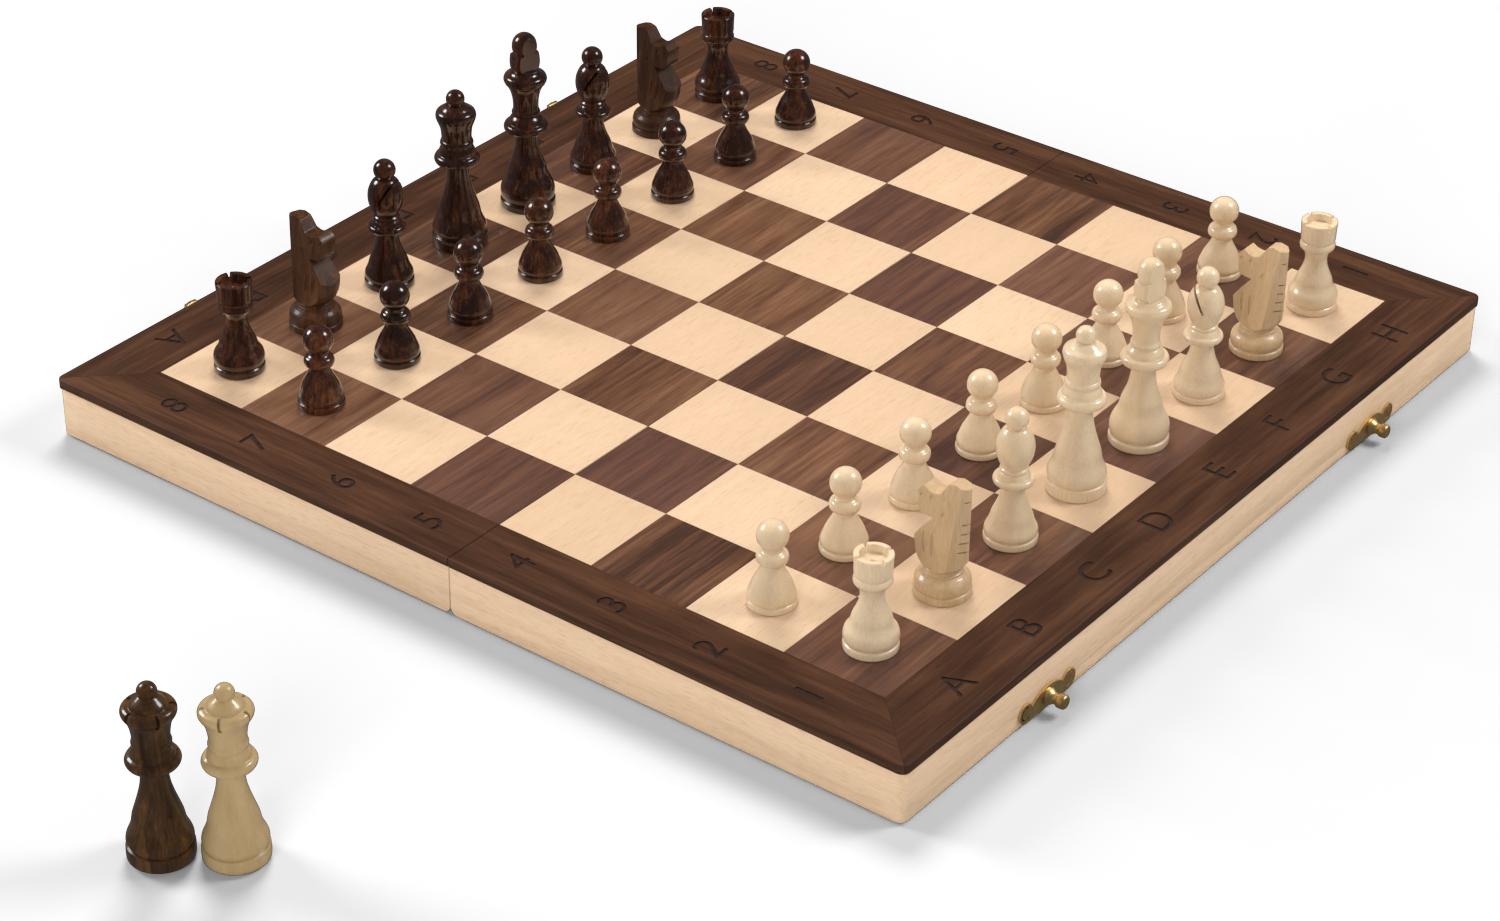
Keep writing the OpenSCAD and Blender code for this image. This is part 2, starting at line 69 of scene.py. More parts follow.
def square_centre(file, rank):
    """The middle of a square's top; file and rank count from 0 at a1."""
    return Vector(((file - 3.5) * SQUARE, (rank - 3.5) * SQUARE, TOP))


# ---- Camera, floor and light --------------------------------------------------------------------

CAMERA_AT = Vector((-0.9601, -0.7088, 0.7232))
CAMERA_AIM = Vector((-0.07734, -0.04281, TOP))
CAMERA_ROLL = 0.726
CAMERA_LENS = 88.63
CAMERA_SENSOR = 36


def make_camera():
    data = bpy.data.cameras.new("camera")
    data.lens = CAMERA_LENS
    data.sensor_width = CAMERA_SENSOR
    data.clip_end = 20
    camera = bpy.data.objects.new("camera", data)
    aim = (CAMERA_AIM - CAMERA_AT).to_track_quat("-Z", "Y").to_matrix()
    roll = Matrix.Rotation(math.radians(CAMERA_ROLL), 3, "Z")
    camera.matrix_world = Matrix.Translation(CAMERA_AT) @ (aim @ roll).to_4x4()
    bpy.context.scene.collection.objects.link(camera)
    bpy.context.scene.camera = camera


def make_softbox(name, direction, distance, size, power, reflected):
    """A round studio light that looks at the middle of the board. It leaves a highlight on the lacquer
    if reflected is true, and only lights the surfaces if it is false."""
    data = bpy.data.lights.new(name, "AREA")
    data.shape = "DISK"
    data.size = size
    data.energy = power
    light = bpy.data.objects.new(name, data)
    light.location = Vector(direction).normalized() * distance
    light.rotation_euler = (-light.location).to_track_quat("-Z", "Y").to_euler()
    light.visible_glossy = reflected
    bpy.context.scene.collection.objects.link(light)


# name, direction, distance, size, power, whether it shows in reflections
SOFTBOXES = (
    ("softbox_left", (-0.32, 0.80, 0.51), 1.5, 0.56, 12, True),
    ("softbox_right", (0.46, -0.54, 0.70), 1.5, 0.56, 12, True),
    ("softbox_front", (-0.85, -0.32, 0.42), 1.8, 0.8, 13, False),
    ("softbox_high", (0.38, 0.36, 0.85), 1.8, 0.8, 27, False),
)
FILL = 0.23
REFLECTED_FILL = 0.11
FILL_COLOUR = (1, 0.97, 0.95, 1)
FLOOR_Z = -0.0012
FLOOR_REACH = 6


def make_world():
    """White to the camera, an even fill to the surfaces, and near black in their reflections."""
    world = bpy.data.worlds.new("studio")
    world.use_nodes = True
    tree = world.node_tree
    tree.nodes.clear()
    out = tree.nodes.new("ShaderNodeOutputWorld")
    seen, fill = (tree.nodes.new("ShaderNodeBackground") for _ in range(2))
    seen.inputs["Color"].default_value = (1, 1, 1, 1)
    seen.inputs["Strength"].default_value = 1.0
    fill.inputs["Color"].default_value = FILL_COLOUR
    path = tree.nodes.new("ShaderNodeLightPath")
    strength = tree.nodes.new("ShaderNodeMapRange")
    strength.inputs["To Min"].default_value = FILL
    strength.inputs["To Max"].default_value = REFLECTED_FILL
    tree.links.new(path.outputs["Is Glossy Ray"], strength.inputs["Value"])
    tree.links.new(strength.outputs["Result"], fill.inputs["Strength"])
    mix = tree.nodes.new("ShaderNodeMixShader")
    tree.links.new(path.outputs["Is Camera Ray"], mix.inputs["Fac"])
    tree.links.new(fill.outputs["Background"], mix.inputs[1])
    tree.links.new(seen.outputs["Background"], mix.inputs[2])
    tree.links.new(mix.outputs["Shader"], out.inputs["Surface"])
    bpy.context.scene.world = world


def make_floor():
    """A plain white floor that shows only the shadows that fall on it."""
    mesh = bpy.data.meshes.new("floor")
    reach = FLOOR_REACH
    mesh.from_pydata([(-reach, -reach, 0), (reach, -reach, 0), (reach, reach, 0), (-reach, reach, 0)],
                     [], [(0, 1, 2, 3)])
    floor = bpy.data.objects.new("floor", mesh)
    floor.location.z = FLOOR_Z
    floor.is_shadow_catcher = True
    floor.visible_glossy = False
    paint = Material("floor_white")
    cloud = paint.noise(paint.coordinates(), 3).outputs["Fac"]
    paint.surface(cloud, [(0, (0.86,) * 3), (1, (0.88,) * 3)])
    paint.set("Roughness", 0.9)
    mesh.materials.append(paint.material)
    bpy.context.scene.collection.objects.link(floor)


# ---- Materials ----------------------------------------------------------------------------------


class Material:
    """One procedural material: a Principled shader and the nodes that feed it."""

    def __init__(self, name):
        self.material = bpy.data.materials.new(name)
        self.material.use_nodes = True
        self.tree = self.material.node_tree
        self.tree.nodes.clear()
        self.shader = self.tree.nodes.new("ShaderNodeBsdfPrincipled")
        out = self.tree.nodes.new("ShaderNodeOutputMaterial")
        self.tree.links.new(self.shader.outputs["BSDF"], out.inputs["Surface"])

    def node(self, kind, inputs=(), **settings):
        """A node with its settings; an input is linked if it is a socket, and set if it is a value."""
        made = self.tree.nodes.new("ShaderNode" + kind)
        for key, value in settings.items():
            setattr(made, key, value)
        for key, value in dict(inputs).items():
            self.put(made.inputs[key], value)
        return made

    def put(self, socket, value):
        if isinstance(value, bpy.types.NodeSocket):
            self.tree.links.new(value, socket)
        else:
            socket.default_value = value

    def set(self, name, value):
        self.put(self.shader.inputs[name], value)

    def coordinates(self):
        return self.node("TexCoord").outputs["Object"]

    def random(self):
        return self.node("ObjectInfo").outputs["Random"]

    def mapped(self, vector, scale, turn=(0, 0, 0)):
        return self.node("Mapping", {"Vector": vector, "Scale": scale, "Rotation": turn}).outputs["Vector"]

    def noise(self, vector, scale, detail=4, roughness=0.55, distortion=0):
        return self.node("TexNoise", {
            "Vector": vector, "Scale": scale, "Detail": detail,
            "Roughness": roughness, "Distortion": distortion,
        })

    def math(self, operation, first, second=0.0, clamp=False):
        made = self.node("Math", {0: first, 1: second}, operation=operation, use_clamp=clamp)
        return made.outputs["Value"]

    def shift(self, vector, offset, amount):
        """The vector moved by a random amount, so that two pieces don't share their grain."""
        moved = self.node("VectorMath", {0: offset, 1: (amount, amount * 0.7, amount * 1.3)},
                          operation="MULTIPLY").outputs["Vector"]
        return self.node("VectorMath", {0: vector, 1: moved}, operation="ADD").outputs["Vector"]

    def ramp(self, factor, stops):
        made = self.node("ValToRGB", {"Fac": factor})
        ramp = made.color_ramp
        while len(ramp.elements) < len(stops):
            ramp.elements.new(1)
        for element, (place, colour) in zip(ramp.elements, stops):
            element.position = place
            element.color = (*colour, 1)
        return made.outputs["Color"]

    def scaled_to(self, factor, low, high):
        return self.node("MapRange", {
            "Value": factor, "To Min": low, "To Max": high,
        }).outputs["Result"]

    def surface(self, factor, stops):
        self.set("Base Color", self.ramp(factor, stops))

    def mixed(self, factor, first, second, blend="MIX"):
        made = self.node("Mix", data_type="RGBA", blend_type=blend)
        self.put(made.inputs[0], factor)
        self.put(made.inputs[6], first)
        self.put(made.inputs[7], second)
        return made.outputs[2]

    def bump(self, height, strength, distance):
        made = self.node("Bump", {"Height": height, "Strength": strength, "Distance": distance})
        self.set("Normal", made.outputs["Normal"])


FIGURE_SHARE = 0.62
TINT_SHARE = 0.45
PORE_SHARE = 0.55
GRAIN_MOVE = 3.0


def wood(name, along, stops, streak, pores, pore_colour, gloss, coat, offset=None, tone=0.0, spread=1.0,
         tint=None):
    """A planed or turned wood. along is the grain's axis, 0, 1 or 2; streak is the figure's width in
    millimetres; pores is the share of dark pores; tone is how much one piece differs from the next;
    spread is the figure's contrast; tint is a colour that some pieces lean to."""
    paint = Material(name)
    vector = paint.coordinates()
    if offset == "square":
        cell = paint.node("VectorMath", {0: vector, 1: (SQUARE,) * 3}, operation="DIVIDE").outputs["Vector"]
        cell = paint.node("VectorMath", {0: cell}, operation="FLOOR").outputs["Vector"]
        chance = paint.node("TexWhiteNoise", {"Vector": cell})
        vector = paint.shift(vector, chance.outputs["Color"], GRAIN_MOVE)
        lot = chance.outputs["Value"]
    elif offset == "piece":
        lot = paint.random()
        chance = paint.node("TexWhiteNoise", {"W": lot}, noise_dimensions="1D")
        vector = paint.shift(vector, chance.outputs["Color"], GRAIN_MOVE)
    else:
        lot = 0.5
    wide = [1000 / streak] * 3
    wide[along] /= 14
    fine = [1000 / (streak * 0.16)] * 3
    fine[along] /= 22
    tiny = [2600.0] * 3
    tiny[along] = 170.0
    figure = paint.noise(paint.mapped(vector, wide), 1, 3, 0.6, 0.7).outputs["Fac"]
    threads = paint.noise(paint.mapped(vector, fine), 1, 3, 0.65, 0.2).outputs["Fac"]
    specks = paint.noise(paint.mapped(vector, tiny), 1, 2, 0.5).outputs["Fac"]
    shade = paint.math("ADD", paint.math("MULTIPLY", figure, FIGURE_SHARE),
                       paint.math("MULTIPLY", threads, 1 - FIGURE_SHARE))
    shade = paint.math("ADD", paint.math("MULTIPLY", paint.math("SUBTRACT", shade, 0.5), spread), 0.5)
    if tone:
        shade = paint.math("ADD", shade, paint.math("MULTIPLY", paint.math("SUBTRACT", lot, 0.5), tone))
    colour = paint.ramp(shade, stops)
    if tint:
        other = paint.node("SeparateColor", {"Color": chance.outputs["Color"]}).outputs["Green"]
        colour = paint.mixed(paint.math("MULTIPLY", other, TINT_SHARE), colour, (*tint, 1))
    pore = paint.node("MapRange", {
        "Value": specks, "From Min": 0.5 - pores * 0.5, "From Max": 0.36 - pores * 0.2,
        "To Min": 0.0, "To Max": 1.0,
    }).outputs["Result"]
    pore_share = paint.math("MULTIPLY", pore, PORE_SHARE)
    paint.set("Base Color", paint.mixed(pore_share, colour, (*pore_colour, 1)))
    paint.set("Roughness", paint.scaled_to(threads, gloss * 0.8, gloss * 1.25))
    paint.set("Coat Weight", coat)
    paint.set("Coat Roughness", 0.08)
    rough = paint.math("SUBTRACT", paint.math("MULTIPLY", threads, 0.5), paint.math("MULTIPLY", pore, 0.6))
    paint.bump(rough, 0.25, 0.00015)
    return paint


def make_materials():
    made = {}
    walnut = [(0.22, (0.042, 0.017, 0.009)), (0.42, (0.100, 0.041, 0.019)),
              (0.58, (0.150, 0.066, 0.031)), (0.80, (0.225, 0.108, 0.053))]
    maple = [(0.2, (0.56, 0.385, 0.24)), (0.5, (0.62, 0.43, 0.28)), (0.8, (0.67, 0.48, 0.32))]
    rim = [(0.15, (0.018, 0.007, 0.0035)), (0.5, (0.055, 0.022, 0.0105)), (0.85, (0.105, 0.044, 0.021))]
    pine = [(0.2, (0.56, 0.37, 0.215)), (0.5, (0.69, 0.49, 0.315)), (0.8, (0.75, 0.555, 0.38))]
    made["walnut"] = wood("walnut_veneer", 0, walnut, 7.5, 0.30, (0.03, 0.012, 0.008), 0.42, 0.12,
                          "square", 0.30, 1.55, (0.120, 0.052, 0.042))
    made["maple"] = wood("maple_veneer", 0, maple, 5, 0.14, (0.50, 0.31, 0.16), 0.45, 0.12,
                         "square", 0.35, 0.6)
    made["border_x"] = wood("walnut_border_long", 0, rim, 9, 0.32, (0.012, 0.006, 0.004), 0.52, 0.0,
                            spread=1.7)
    made["border_y"] = wood("walnut_border_side", 1, rim, 9, 0.32, (0.012, 0.006, 0.004), 0.52, 0.0,
                            spread=1.7)
    made["rail_x"] = wood("softwood_long", 0, pine, 4.5, 0.12, (0.52, 0.33, 0.18), 0.55, 0.0)
    made["rail_y"] = wood("softwood_side", 1, pine, 4.5, 0.12, (0.52, 0.33, 0.18), 0.55, 0.0)
    pale = [(0.2, (0.63, 0.465, 0.28)), (0.5, (0.70, 0.53, 0.34)), (0.8, (0.75, 0.59, 0.40))]
    made["pale"] = wood("pale_lacquer", 2, pale, 6, 0.04, (0.60, 0.45, 0.29), 0.32, 0.6, "piece", 0.3, 0.7)
    tan = [(0.2, (0.46, 0.30, 0.155)), (0.5, (0.58, 0.40, 0.225)), (0.8, (0.66, 0.48, 0.295))]
    made["tan"] = wood("pale_knight_lacquer", 2, tan, 4, 0.1, (0.42, 0.27, 0.14), 0.42, 0.45, "piece", 0.2)
    black = [(0.22, (0.007, 0.0016, 0.0008)), (0.46, (0.022, 0.0055, 0.0022)),
             (0.66, (0.070, 0.0200, 0.0070)), (0.85, (0.17, 0.058, 0.019))]
    made["dark"] = wood("dark_lacquer", 2, black, 7, 0.1, (0.004, 0.001, 0.001), 0.24, 0.9,
                        "piece", 0.12, 1.6)
    sawn = [(0.2, (0.014, 0.0045, 0.002)), (0.5, (0.044, 0.0160, 0.0065)), (0.8, (0.11, 0.044, 0.016))]
    made["sawn"] = wood("dark_knight_lacquer", 2, sawn, 4, 0.25, (0.006, 0.002, 0.001), 0.44, 0.2,
                        "piece", 0.1, 1.4)
    stain = [(0.25, (0.016, 0.007, 0.003)), (0.5, (0.046, 0.020, 0.006)),
             (0.72, (0.100, 0.044, 0.011)), (0.9, (0.18, 0.078, 0.018))]
    made["stain"] = wood("brown_stain", 2, stain, 5, 0.25, (0.008, 0.004, 0.002), 0.32, 0.6,
                         "piece", 0.1, 1.5)
    varnish = [(0.2, (0.31, 0.205, 0.088)), (0.5, (0.39, 0.27, 0.125)), (0.8, (0.46, 0.335, 0.175))]
    made["varnish"] = wood("tan_varnish", 2, varnish, 6, 0.08, (0.40, 0.27, 0.13), 0.34, 0.6, "piece", 0.1)
    for dull in ("border_x", "border_y", "dark", "sawn", "stain"):
        made[dull].set("Specular IOR Level", 0.22)

    burnt = Material("burnt_letters")
    burnt.surface(burnt.noise(burnt.coordinates(), 900).outputs["Fac"],
                  [(0.3, (0.010, 0.004, 0.003)), (0.7, (0.030, 0.013, 0.009))])
    burnt.set("Roughness", 0.6)
    made["burnt"] = burnt

    brass = Material("polished_brass")
    cloud = brass.noise(brass.coordinates(), 220, 5, 0.6).outputs["Fac"]
    brass.surface(cloud, [(0.25, (0.74, 0.50, 0.20)), (0.6, (0.88, 0.66, 0.32)), (0.85, (0.93, 0.74, 0.42))])
    brass.set("Metallic", 1.0)
    brass.set("Roughness", brass.scaled_to(cloud, 0.34, 0.52))
    brass.bump(brass.noise(brass.coordinates(), 900, 3).outputs["Fac"], 0.12, 0.0001)
    made["brass"] = brass

    felt = Material("green_felt")
    fibre = felt.noise(felt.coordinates(), 1500, 6, 0.7, 0.8).outputs["Fac"]
    patch = felt.noise(felt.coordinates(), 60, 3).outputs["Fac"]
    tone = felt.math("ADD", felt.math("MULTIPLY", fibre, 0.7), felt.math("MULTIPLY", patch, 0.3))
    felt.surface(tone, [(0.3, (0.008, 0.045, 0.022)), (0.55, (0.022, 0.10, 0.052)), (0.8, (0.05, 0.17, 0.09))])
    felt.set("Roughness", 0.95)
    felt.set("Sheen Weight", 0.5)
    felt.set("Sheen Roughness", 0.5)
    felt.bump(fibre, 0.8, 0.0004)
    made["felt"] = felt
    return made


# ---- Mesh building ------------------------------------------------------------------------------

SHARP = math.radians(32)


def finish_mesh(bm, name):
    """The bmesh as a mesh, smooth except at its sharp edges."""
    bmesh.ops.recalc_face_normals(bm, faces=bm.faces)
    mesh = bpy.data.meshes.new(name)
    bm.to_mesh(mesh)
    bm.free()
    mesh.shade_smooth()
    mesh.set_sharp_from_angle(angle=SHARP)
    return mesh


def place(mesh, name, body, slot, nodes, where=(0, 0, 0), turn=0.0, paints=()):
    """A piece of the object that stands for some CAD nodes and rides on their body."""
    piece = bpy.data.objects.new(name, mesh)
    piece.location = where
    piece.rotation_euler.z = math.radians(turn)
    bpy.context.scene.collection.objects.link(piece)
    for paint in paints:
        mesh.materials.append(paint.material)
    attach(piece, body)
    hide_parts(*nodes)
    return piece


def extruded(bm, outline, low, high):
    """A prism over a flat outline of (x, y) points, from z low to high."""
    face = bm.faces.new([bm.verts.new((x, y, low)) for x, y in outline])
    made = bmesh.ops.extrude_face_region(bm, geom=[face])
    lifted = [v for v in made["geom"] if isinstance(v, bmesh.types.BMVert)]
    bmesh.ops.translate(bm, verts=lifted, vec=(0, 0, high - low))


def bevelled(bm, width, segments, chosen=lambda edge: True):
    """Rounds the sharp edges that chosen accepts."""
    bm.normal_update()
    edges = [e for e in bm.edges if len(e.link_faces) == 2 and e.calc_face_angle(0) > 0.5 and chosen(e)]
    bmesh.ops.bevel(bm, geom=edges, offset=width, segments=segments, profile=0.5, affect="EDGES",
                    clamp_overlap=True)


def booled(mesh, cutter, operation, name):
    """mesh cut by, joined with or kept inside cutter; both are used up."""
    first = bpy.data.objects.new("first", mesh)
    second = bpy.data.objects.new("second", cutter)
    for made in (first, second):
        bpy.context.scene.collection.objects.link(made)
    modifier = first.modifiers.new("cut", "BOOLEAN")
    modifier.operation = operation
    modifier.object = second
    modifier.solver = "EXACT"
    modifier.material_mode = "TRANSFER"
    modifier.use_self = operation == "DIFFERENCE"
    bpy.context.view_layer.update()
    result = bpy.data.meshes.new_from_object(first.evaluated_get(bpy.context.evaluated_depsgraph_get()))
    result.name = name
    for made in (first, second):
        old = made.data
        bpy.data.objects.remove(made)
        bpy.data.meshes.remove(old)
    result.validate()
    result.shade_smooth()
    result.set_sharp_from_angle(angle=SHARP)
    return result


def box_mesh(low, high, matrix=Matrix.Identity(4)):
    """A block between two corners, then placed by matrix."""
    bm = bmesh.new()
    extruded(bm, [(low[0], low[1]), (high[0], low[1]), (high[0], high[1]), (low[0], high[1])],
             low[2], high[2])
    bm.transform(matrix)
    return finish_mesh(bm, "block")


def joined(meshes):
    """Several meshes as one."""
    bm = bmesh.new()
    for mesh in meshes:
        bm.from_mesh(mesh)
        bpy.data.meshes.remove(mesh)
    return finish_mesh(bm, "joined")


# ---- Turned men ---------------------------------------------------------------------------------
# An outline is a list of strokes that meet at corners. Each stroke is a smooth curve through its
# knots, which are (radius, height) in millimetres. They are the CAD part's own outlines.

CURVE_STEPS = 4
BALL_STEPS = 5
TURN_STEPS = 64


def smooth(knots):
    """Points on the curve through the knots."""
    points = []
    for i in range(len(knots) - 1):
        a, b = Vector(knots[max(i - 1, 0)]), Vector(knots[i])
        c, d = Vector(knots[i + 1]), Vector(knots[min(i + 2, len(knots) - 1)])
        for k in range(CURVE_STEPS):
            t = k / CURVE_STEPS
            q = (2 * b + (c - a) * t + (2 * a - 5 * b + 4 * c - d) * t ** 2
                 + (3 * b - a - 3 * c + d) * t ** 3) / 2
            points.append((max(q[0], 0.0), q[1]))
    return points + [tuple(knots[-1])]


def ball(z, r, start):
    """Knots along a ball, from the angle where it leaves the neck to its pole."""
    angles = [math.radians(start + (90 - start) * k / BALL_STEPS) for k in range(BALL_STEPS + 1)]
    return [(r * math.cos(a), z + r * math.sin(a)) for a in angles[:-1]] + [(0, z + r)]


def turned(strokes, rounding=0.22):
    """A bmesh of the solid that the outline sweeps about the z axis, in millimetres."""
    points = [p for stroke in strokes for p in smooth(stroke)]
    outline = [points[0]] + [q for p, q in zip(points, points[1:]) if (Vector(q) - Vector(p)).length > 0.02]
    bm = bmesh.new()
    rings = []
    for r, z in outline:
        if r < 0.01:
            rings.append([bm.verts.new((0, 0, z))])
            continue
        angles = [2 * math.pi * k / TURN_STEPS for k in range(TURN_STEPS)]
        rings.append([bm.verts.new((r * math.cos(a), r * math.sin(a), z)) for a in angles])
    bm.faces.new(rings[0][::-1])
    for low, high in zip(rings, rings[1:]):
        for k in range(TURN_STEPS):
            after = (k + 1) % TURN_STEPS
            if len(high) == 1:
                bm.faces.new((low[k], low[after], high[0]))
            else:
                bm.faces.new((low[k], low[after], high[after], high[k]))
    if len(rings[-1]) > 1:
        bm.faces.new(rings[-1])
    bevelled(bm, rounding, 2)
    return bm


KING = [
    [(10.6, 0), (11, 0.6), (11, 2.6), (10.6, 3.2)],
    [(10.2, 3.3), (10.8, 5.0), (10.8, 7.0), (10.4, 9.0), (9.4, 11.3), (8.3, 13.4), (7.7, 15.6), (7.3, 17.7),
     (6.3, 20.3), (5.4, 22.9), (4.85, 25.6), (4.5, 28.6), (4.4, 32)],
    [(6.8, 32.2), (8.3, 33.0), (8.75, 34.4), (8.2, 35.7), (6.9, 36.2)],
    [(6.8, 36.4), (6.5, 37.5), (5.8, 38.6), (5.2, 39.2)],
    [(5.1, 39.5), (5.5, 40.5), (5.1, 41.5)],
    [(4.9, 41.8), (4.9, 44.5), (5.2, 47.2), (6.0, 50.2), (7.2, 52.6)],
    [(7.8, 53.2), (8.4, 54.8), (7.9, 56.4), (6.4, 57.3)],
    [(6.1, 57.5), (5.4, 58.2), (4.6, 58.5)],
    [(4.7, 58.9), (5.6, 60.2), (5.8, 63), (5.5, 65.6)],
    [(4.1, 65.9), (4.1, 66.7)],
    [(4.6, 67.0), (4.8, 69.0), (4.2, 71.6), (2.4, 73.5), (0, 74)],
]
KING_FLAT_Y = 3.3
KING_FLAT_Z = 58.6

QUEEN_BODY = [
    [(10.4, 0), (10.9, 0.7), (10.9, 4.3), (10.5, 4.9)],
    [(10.1, 5.0), (10.6, 6.3), (10.6, 7.6), (10.2, 9.0), (9.4, 10.8), (8.75, 12.6), (8.4, 14.4), (8.0, 16.4),
     (7.3, 18.6), (6.5, 21.1), (5.6, 24.1), (4.8, 27.5), (4.4, 31), (4.3, 34.4)],
    [(6.6, 34.7), (8.2, 35.6), (8.8, 37.1), (8.2, 38.5), (7.2, 39.1)],
    [(7.0, 39.4), (6.8, 40.6), (6.3, 41.7), (6.0, 42.4)],
    [(6.0, 42.6), (6.35, 43.7), (6.0, 44.8)],
]
# The queens on the board have a plain rounded crown, and the spare queens a wider one with slots
QUEEN_CROWN = [
    [(5.7, 45.0), (5.75, 47.5), (6.1, 50.2), (6.9, 52.4), (7.5, 54.0), (7.7, 55.4), (7.3, 56.8), (6.2, 57.7)],
    [(5.6, 58.0), (4.6, 58.9), (3.5, 59.6)],
    ball(62.0, 3.5, -42),
]
SPARE_CROWN = [
    [(5.95, 45.0), (6.05, 47.2), (6.6, 50.4), (7.5, 52.8), (8.4, 54.2), (8.75, 55.5), (8.3, 56.7), (7.4, 57.3)],
    [(6.2, 57.3), (5.5, 58.4), (4.4, 59.5), (3.0, 60.7)],
    ball(62.3, 3.2, -28),
]
QUEEN_SLOTS = 5
QUEEN_SLOT = ((6.6, -0.55, 52.4), (12, 0.55, 62))

BISHOP = [
    [(9.2, 0), (9.6, 0.5), (9.6, 2.2), (9.3, 2.7)],
    [(8.9, 2.8), (9.4, 4.0), (9.2, 5.4), (8.6, 6.7), (8.0, 8.1), (7.5, 9.8), (7.0, 11.4), (6.3, 13.0),
     (5.5, 14.9), (4.7, 17.4), (4.2, 20), (4.1, 22.5)],
    [(5.6, 22.7), (6.9, 23.5), (7.3, 24.6), (6.9, 25.6), (5.8, 26.1)],
    [(5.8, 26.3), (5.3, 27.3), (4.8, 28.0)],
    [(4.8, 28.2), (5.1, 28.8), (4.7, 29.4)],
    [(4.4, 29.6), (5.3, 31.4), (6.35, 34.3), (6.75, 37.4), (6.3, 40.6), (5.0, 43.4), (3.7, 44.8)],
    ball(48.35, 4.15, -52),
]
SLIT_AT = (-4.45, 0, 43.9)
SLIT_TILT = -26
SLIT_WIDE = 0.9
SLIT_REACH = 8.6

ROOK = [
    [(9.1, 0), (9.5, 0.5), (9.5, 2.3), (9.2, 2.8)],
    [(8.9, 3.0), (9.5, 4.4), (9.5, 5.9), (9.0, 7.6), (7.9, 9.3), (7.2, 10.8), (6.9, 12.2), (6.3, 13.8),
     (5.3, 16.0), (4.5, 18.4), (4.2, 20.6), (4.4, 22.8), (5.1, 24.6)],
    [(5.7, 25.0), (6.5, 25.9), (6.7, 27.1), (6.3, 28.3)],
    [(6.1, 28.5), (6.5, 29.6), (6.6, 33), (6.8, 36.5)],
    [(6.6, 36.8), (4.9, 36.8)],
    [(4.6, 34.2), (0.9, 33.9)],
    [(0.8, 34.2), (0.5, 34.4), (0, 34.5)],
]
# The four notches, as (across, up), and how far from the axis they reach
ROOK_NOTCH = [(-0.45, 34.8), (0.45, 34.8), (0.95, 38), (-0.95, 38)]
ROOK_NOTCH_FROM = 3
ROOK_NOTCH_TO = 9
ROOK_NOTCH_TURN = 64

PAWN = [
    [(8.3, 0), (8.7, 0.5), (8.7, 2.0), (8.4, 2.5)],
    [(8.1, 2.6), (8.5, 3.8), (8.3, 5.2), (7.6, 7.0), (6.9, 8.8), (6.0, 10.6), (4.9, 12.6), (4.0, 14.6),
     (3.6, 16.2)],
    [(4.5, 16.5), (5.4, 17.4), (5.6, 18.9), (5.1, 20.2), (4.1, 20.9)],
    [(3.6, 21.3), (3.5, 22.4)],
    ball(27.0, 5.6, -48),
]

KNIGHT_BASE = [
    [(9.7, 0), (10.1, 0.5), (10.1, 2.3), (9.8, 2.8)],
    [(9.4, 2.9), (9.85, 4.6), (9.4, 6.8), (7.8, 8.5)],
    [(6.9, 8.8), (6.8, 9.6)],
    [(6.3, 9.8), (6.2, 10.8), (4.0, 11.4)],
]
# The bowl that the head was sawn from, turned about the man's axis
KNIGHT_BLANK = [
    [(5.6, 10.4), (6.6, 11.2), (8.2, 13.2), (9.4, 16.0), (9.9, 19.5), (10.2, 23), (10.2, 30), (10.2, 46)],
]
# The head from the side, as (forwards, up); only the bowl bounds it below
KNIGHT_HEAD = [
    (-11, 10), (11, 10), (11, 19), (9.2, 21.5), (5.6, 26.6), (2.2, 30.6),
    (7.4, 31.2), (8.2, 33), (8.6, 36), (9.2, 38.6), (6.8, 41.2), (5, 39.9), (2.4, 39.4), (0, 40.2),
    (-2.4, 44.6), (-5, 45.4), (-9.8, 44.2), (-11, 44),
]
# The same head from the front, as (across, up), and from above
KNIGHT_FRONT = [(-6.4, 10), (6.4, 10), (2.7, 46), (-2.7, 46)]
KNIGHT_PLAN = [(-7, -4.2), (-0.7, -9.6), (0.7, -9.6), (7, -4.2), (7, 11), (-7, 11)]
KNIGHT_REACH = 11
# Saw cuts across the mane, as (height, depth) from its ridge
MANE_RIDGE = -9.6
MANE_CUT = 0.5
MANE_CUTS = ((39.4, 1.1), (30.6, 1.5), (27.0, 1.7), (23.4, 2.0), (19.8, 2.2))
# Grooves in each flank, as (forwards, up, length, width, lean in degrees): two leaves, then nostril,
# eye and cheek
FLANK_LEAN = 5.9
FLANK_GROOVES = ((4.6, 20.6, 8.4, 1.9, -8), (1.2, 20.4, 8.8, 1.9, -6), (7.4, 37.6, 1.5, 1.5, 0),
                 (3.6, 37.6, 2.0, 1.4, 15), (-1.6, 33.0, 2.4, 0.8, 25))

# From (x, y) outline and z height to where each outline stands
FROM_SIDE = Matrix(((0, 0, 1, 0), (1, 0, 0, 0), (0, 1, 0, 0), (0, 0, 0, 1)))
FROM_FRONT = Matrix(((1, 0, 0, 0), (0, 0, -1, 0), (0, 1, 0, 0), (0, 0, 0, 1)))


def prism(outline, low, high, matrix=Matrix.Identity(4), rounding=0.0):
    """A solid over a flat outline, placed by matrix."""
    bm = bmesh.new()
    extruded(bm, outline, low, high)
    if rounding:
        bevelled(bm, rounding, 2)
    bm.transform(matrix)
    return finish_mesh(bm, "prism")


def king():
    """Both sides of the finial are sawn flat."""
    body = finish_mesh(turned(KING), "king")
    clear, above = 12, 80
    flats = [box_mesh((-clear, -clear, KING_FLAT_Z), (clear, -KING_FLAT_Y, above)),
             box_mesh((-clear, KING_FLAT_Y, KING_FLAT_Z), (clear, clear, above))]
    return booled(body, joined(flats), "DIFFERENCE", "king")


def queen():
    return finish_mesh(turned(QUEEN_BODY + QUEEN_CROWN), "queen")


